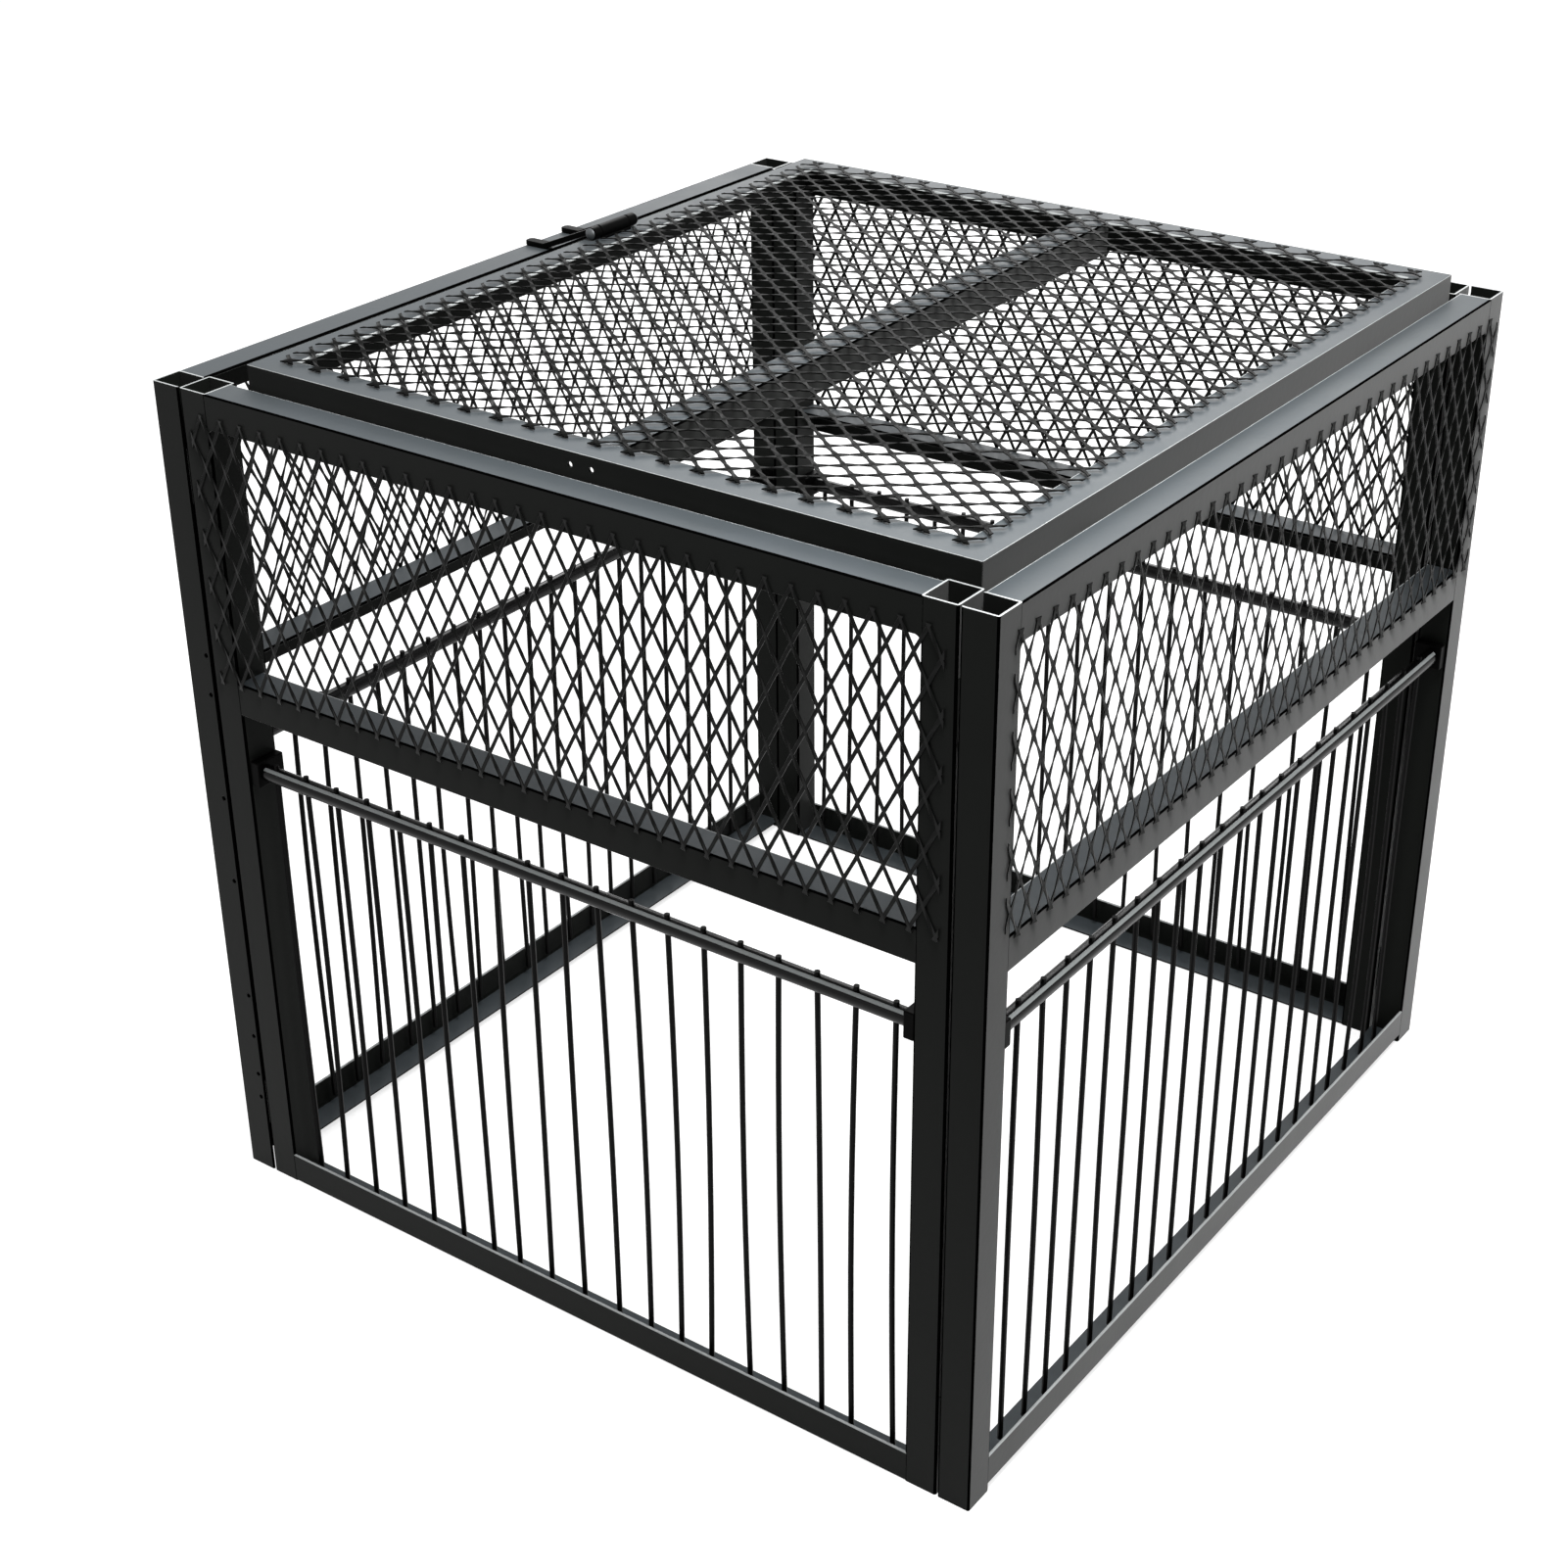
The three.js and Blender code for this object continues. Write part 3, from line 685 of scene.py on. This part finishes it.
def light_the_stage():
    """White backdrop, pale floor that keeps the shadow, and the soft lamps"""
    world = bpy.data.worlds.new("studio")
    bpy.context.scene.world = world
    world.use_nodes = True
    tree = world.node_tree
    tree.nodes.clear()
    dim = add_node(tree, "ShaderNodeBackground", {
        "Color": linear("#ffffff"), "Strength": WORLD_GLOW})
    white = add_node(tree, "ShaderNodeBackground", {"Color": linear("#ffffff"), "Strength": 1.0})
    mix = add_node(tree, "ShaderNodeMixShader", {
        0: seen_directly(tree), 1: dim.outputs[0], 2: white.outputs[0]})
    add_node(tree, "ShaderNodeOutputWorld", {"Surface": mix.outputs[0]})

    floor_material, tree, _ = blank_material("pale_studio_floor")
    paint = add_node(tree, "ShaderNodeBsdfDiffuse", {"Color": linear("#c8c8c8")})
    glow = add_node(tree, "ShaderNodeEmission", {
        "Color": linear("#ffffff"), "Strength": FLOOR_GLOW})
    both = add_node(tree, "ShaderNodeAddShader", {0: paint.outputs[0], 1: glow.outputs[0]})
    mix = add_node(tree, "ShaderNodeMixShader", {
        0: seen_directly(tree), 1: paint.outputs[0], 2: both.outputs[0]})
    add_node(tree, "ShaderNodeOutputMaterial", {"Surface": mix.outputs[0]})
    bm = bmesh.new()
    bmesh.ops.create_grid(bm, x_segments=1, y_segments=1, size=FLOOR_HALF)
    studio_floor = make_piece(bm, "studio_floor", floor_material)

    for name, place, side, power in LAMPS:
        lamp = bpy.data.lights.new(name, "AREA")
        lamp.shape = "SQUARE"
        lamp.size = side
        lamp.energy = power
        light = bpy.data.objects.new(name, lamp)
        light.location = place
        aim = LAMP_AIM - light.location
        light.rotation_euler = aim.to_track_quat("-Z", "Y").to_euler()
        light.visible_camera = False
        bpy.context.scene.collection.objects.link(light)


def build_cage():
    """Stiles, rails, nets, gates and rod blocks of the four panels, and their corner plates"""
    panels = {
        "front": (("left", "right"), Vector((1, 0, 0)), Vector((0, -1, 0))),
        "right": (("front", "back"), Vector((0, 1, 0)), Vector((1, 0, 0))),
        "back": (("right", "left"), Vector((-1, 0, 0)), Vector((0, 1, 0))),
        "left": (("back", "front"), Vector((0, -1, 0)), Vector((-1, 0, 0))),
    }
    sides = {"left": (0, -1), "right": (0, 1), "front": (1, -1), "back": (1, 1)}
    for panel, (ends, along, outward) in panels.items():
        for end in ends:
            node = f"{panel}_{end}_stile"
            channel = panel in ("left", "right")
            stile = post(node, 0, -sides[panel][1]) if channel else post(node)
            if node == "left_front_stile":
                lo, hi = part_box(node)
                centres = [Vector((hi.x - STILE_HOLE_EDGE, lo.y + IRON_WALL / 2, share * hi.z))
                           for share in STILE_HOLE_HEIGHT_SHARES]
                drill(stile, centres, (0, 1, 0), HOLE_RADIUS, 3 * IRON_WALL)
            ride(stile, "cage", node)
            bush = f"{panel}_gate_{end}_bush"
            ride(rod_block(bush, f"{panel}_gate", along), "cage", bush)
        axis, sign = sides[panel]
        # Front and right rails get a painted highlight on their flange toe, bottom rails on their
        # leg toe
        toe = ("flange_toe",) if panel in ("front", "right") else ()
        for rail, rise, highlighted in (("top", 1, toe), ("mid", 1, toe), ("bottom", -1, ("leg_toe",))):
            corner = [0, 0, rise]
            corner[axis] = sign
            node = f"{panel}_{rail}_rail"
            steel = angle_iron(node, tuple(corner), WELD_REACH, WELD_SINK, highlighted=highlighted,
                               window=rail == "top")
            ride(steel, "cage", node)
        node = f"{panel}_mesh"
        net = expanded_net(node, NET_COAT, along, UP, outward, (SIDE_NET_SHORT, SIDE_NET_LONG),
                           STRAND_WIDTH, 0.0, SIDE_NET_WANDER, SIDE_NET_LIFT, SIDE_NET_RISE,
                           SIDE_NET_TRIM, RIGHT_NET_TRIM if panel == "right" else 0)
        ride(net, "cage", node)
        node = f"{panel}_gate"
        ride(hanging_gate(node, along), node, node)
    for end in ("front", "back"):
        for side in ("left", "right"):
            for level in ("lower", "upper"):
                node = f"{end}_{side}_{level}_cleat"
                ride(block(node, PLATE_EDGE, POWDER_COAT), "cage", node)


def build_lid():
    """Mitred lid frame with its centre bar and net, and the rests under its skirt"""
    for node, corner in (("lid_front_rail", (0, -1, 1)), ("lid_back_rail", (0, 1, 1)),
                         ("lid_left_rail", (-1, 0, 1)), ("lid_right_rail", (1, 0, 1))):
        # The lid's corner and flange toe get a painted highlight
        rail = angle_iron(node, corner, mitred=True, highlighted=("corner", "flange_toe"))
        if node == "lid_front_rail":
            lo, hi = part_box(node)
            centres = [Vector(((lo.x + hi.x + sign * SKIRT_HOLE_PITCH) / 2, lo.y + IRON_WALL / 2,
                               hi.z - SKIRT_HOLE_DROP)) for sign in (-1, 1)]
            drill(rail, centres, (0, 1, 0), HOLE_RADIUS, 3 * IRON_WALL)
        ride(rail, "lid", node)
    ride(angle_iron("lid_centre_bar", (1, 0, 1), WELD_REACH, WELD_SINK), "lid", "lid_centre_bar")
    net = expanded_net("lid_mesh", LID_NET_COAT, Vector((0, 1, 0)), Vector((1, 0, 0)), UP,
                       (LID_NET_SHORT, LID_NET_LONG), LID_STRAND_WIDTH, LID_NET_ROOM,
                       LID_NET_WANDER, LID_NET_LIFT)
    ride(net, "lid", "lid_mesh")
    for end in ("front", "back"):
        node = f"lid_{end}_rest"
        ride(angle_iron(node, (1, 0, 1)), "cage", node)


def eye_profile(half):
    """Outline of a bored eye with eased rims, as radius and place along the pin"""
    return [(BORE_RADIUS, -half), (EYE_RADIUS - STRAP_EDGE, -half),
            (EYE_RADIUS, -half + STRAP_EDGE), (EYE_RADIUS, half - STRAP_EDGE),
            (EYE_RADIUS - STRAP_EDGE, half), (BORE_RADIUS, half), (BORE_RADIUS, -half)]


def build_hinge():
    """Straps with eyes on the left rail, the barrel on the lid, and the pin through them"""
    across = Vector((0, 1, 0))
    pin_lo, pin_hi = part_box("hinge_pin")
    pin = (pin_lo + pin_hi) / 2
    for end in ("front", "back"):
        node = f"hinge_{end}_strap"
        lo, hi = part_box(node)
        half = (hi.y - lo.y) / 2
        centre = Vector((pin.x, (lo.y + hi.y) / 2, pin.z))
        bend = lo.x + STRAP_RISE
        arm_low, arm_high = pin.z - STRAP_THICK / 2, pin.z + STRAP_THICK / 2
        crest = pin.x - EYE_RADIUS * CREST_SHARE
        outline = [(lo.x, lo.z), (bend, lo.z), (crest, arm_low), (pin.x - BORE_RADIUS, arm_low),
                   (pin.x - BORE_RADIUS, arm_high), (crest - STRAP_THICK / 2, arm_high),
                   (bend - STRAP_THICK / 2, lo.z + STRAP_THICK), (lo.x, lo.z + STRAP_THICK)]
        bm = bmesh.new()
        extrude_profile(bm, [Vector((x, lo.y, z)) for x, z in outline], across * 2 * half)
        tips = [e for e in bm.edges if all(abs(v.co.x - lo.x) < SAME_PLACE for v in e.verts)
                and abs(e.verts[0].co.z - e.verts[1].co.z) > STRAP_THICK / 2]
        round_edges(bm, tips, STRAP_TIP_ROUND, 6)
        edges = [e for e in bm.edges if e.calc_face_angle(0) > radians(80)]
        round_edges(bm, edges, STRAP_EDGE, 2)
        spin_profile(bm, eye_profile(half), centre, across, HINGE_SIDES)
        ride(make_piece(bm, node + "_steel", HARDWARE_ENAMEL), "cage", node)

    node = "lid_knuckle"
    lo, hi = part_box(node)
    half = (hi.y - lo.y) / 2
    bm = bmesh.new()
    foot = [Vector((x, lo.y, z)) for x, z in (
        (lo.x, lo.z), (hi.x, lo.z), (hi.x, lo.z + FOOT_THICK), (lo.x, lo.z + FOOT_THICK))]
    extrude_profile(bm, foot, across * 2 * half)
    round_edges(bm, bm.edges[:], FOOT_EDGE, 2)
    centre = Vector((pin.x, (lo.y + hi.y) / 2, pin.z))
    spin_profile(bm, eye_profile(half), centre, across, HINGE_SIDES)
    ride(make_piece(bm, "lid_knuckle_barrel", HARDWARE_ENAMEL), "lid", node)

    half = (pin_hi.y - pin_lo.y) / 2
    head = half - PIN_HEAD_THICK
    dome = [(0, -half), (PIN_RADIUS * DOME_LOW_SHARE, -half + DOME_LOW),
            (PIN_HEAD_RADIUS * DOME_HIGH_SHARE, -half + DOME_HIGH),
            (PIN_HEAD_RADIUS, -head - DOME_LOW), (PIN_HEAD_RADIUS, -head), (PIN_RADIUS, -head)]
    bm = bmesh.new()
    spin_profile(bm, dome + [(r, -place) for r, place in reversed(dome)], pin, across, HINGE_SIDES)
    ride(make_piece(bm, "hinge_pin_steel", ZINC, SMOOTH_UNDER), "cage", "hinge_pin")


place_camera()
light_the_stage()
build_cage()
build_lid()
build_hinge()

bpy.context.scene.view_settings.view_transform = "Standard"
